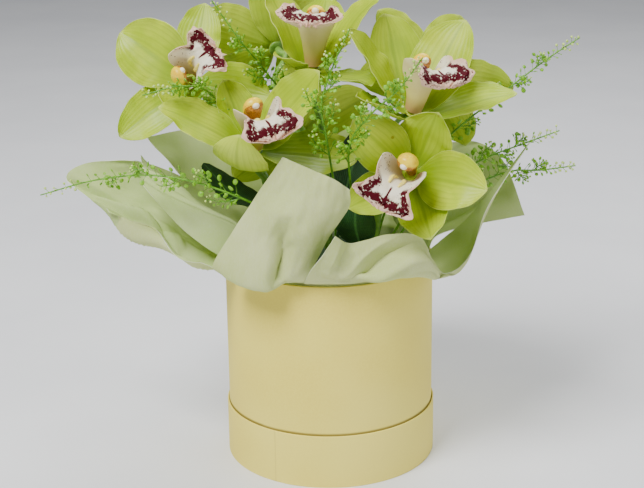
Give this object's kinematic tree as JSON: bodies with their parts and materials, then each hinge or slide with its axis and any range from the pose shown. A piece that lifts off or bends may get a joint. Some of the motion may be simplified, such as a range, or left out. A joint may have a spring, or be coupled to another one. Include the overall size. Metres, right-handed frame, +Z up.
{
  "type": "cut orchid arrangement in a hat box",
  "caption": "Cut green orchid blooms with seed-pod greenery in wet foam, wrapped in flared paper sheets and standing in a round card box on its upturned lid.",
  "frame": {"origin": "centre of the underside of the lid's disc, on the table", "axes": "+Z up along the box's axis, -Y towards the front of the arrangement, +X to the right seen from the front"},
  "size_m": [0.3814, 0.2301, 0.3533],
  "materials": {
    "box_card": "matte uncoated butter-yellow paper over card",
    "liner_film": "clear plastic liner",
    "foam": "wet dark green floral foam",
    "paper": "matte pale sage wrapping paper, slightly translucent",
    "sepal": "waxy yellow-green sepal with fine veins",
    "petal": "waxy yellow-green petal with fine veins",
    "lip": "cream lip with maroon blotches",
    "column": "waxy yellow column",
    "stem": "smooth green flower stem",
    "sprig": "fresh green stalks and seed pods",
    "leaf": "glossy dark green leaf"
  },
  "bodies": {
    "root": {"lid_disc": "box_card", "lid_band": "box_card", "box_tube": "box_card", "box_base": "box_card", "film_liner": "liner_film", "foam_block": "foam", "wrap_front": "paper", "wrap_front_right": "paper", "wrap_right": "paper", "wrap_back": "paper", "wrap_back_left": "paper", "wrap_left": "paper", "bloom_1_sepals": "sepal", "bloom_1_petals": "petal", "bloom_1_lip": "lip", "bloom_1_column": "column", "bloom_2_sepals": "sepal", "bloom_2_petals": "petal", "bloom_2_lip": "lip", "bloom_2_column": "column", "bloom_3_sepals": "sepal", "bloom_3_petals": "petal", "bloom_3_lip": "lip", "bloom_3_column": "column", "bloom_4_sepals": "sepal", "bloom_4_petals": "petal", "bloom_4_lip": "lip", "bloom_4_column": "column", "bloom_5_sepals": "sepal", "bloom_5_petals": "petal", "bloom_5_lip": "lip", "bloom_5_column": "column", "bloom_6_sepals": "sepal", "bloom_6_petals": "petal", "bloom_6_lip": "lip", "bloom_6_column": "column", "bloom_7_sepals": "sepal", "bloom_7_petals": "petal", "bloom_7_lip": "lip", "bloom_7_column": "column", "bloom_8_sepals": "sepal", "bloom_8_petals": "petal", "bloom_8_lip": "lip", "bloom_8_column": "column", "spike_right": "stem", "spike_left": "stem", "spike_back": "stem", "sprig_1": "sprig", "sprig_2": "sprig", "sprig_3": "sprig", "sprig_4": "sprig", "sprig_5": "sprig", "sprig_6": "sprig", "sprig_7": "sprig", "sprig_8": "sprig", "leaf_1": "leaf", "leaf_2": "leaf", "leaf_3": "leaf", "leaf_4": "leaf", "leaf_5": "leaf"}
  },
  "joints": []
}
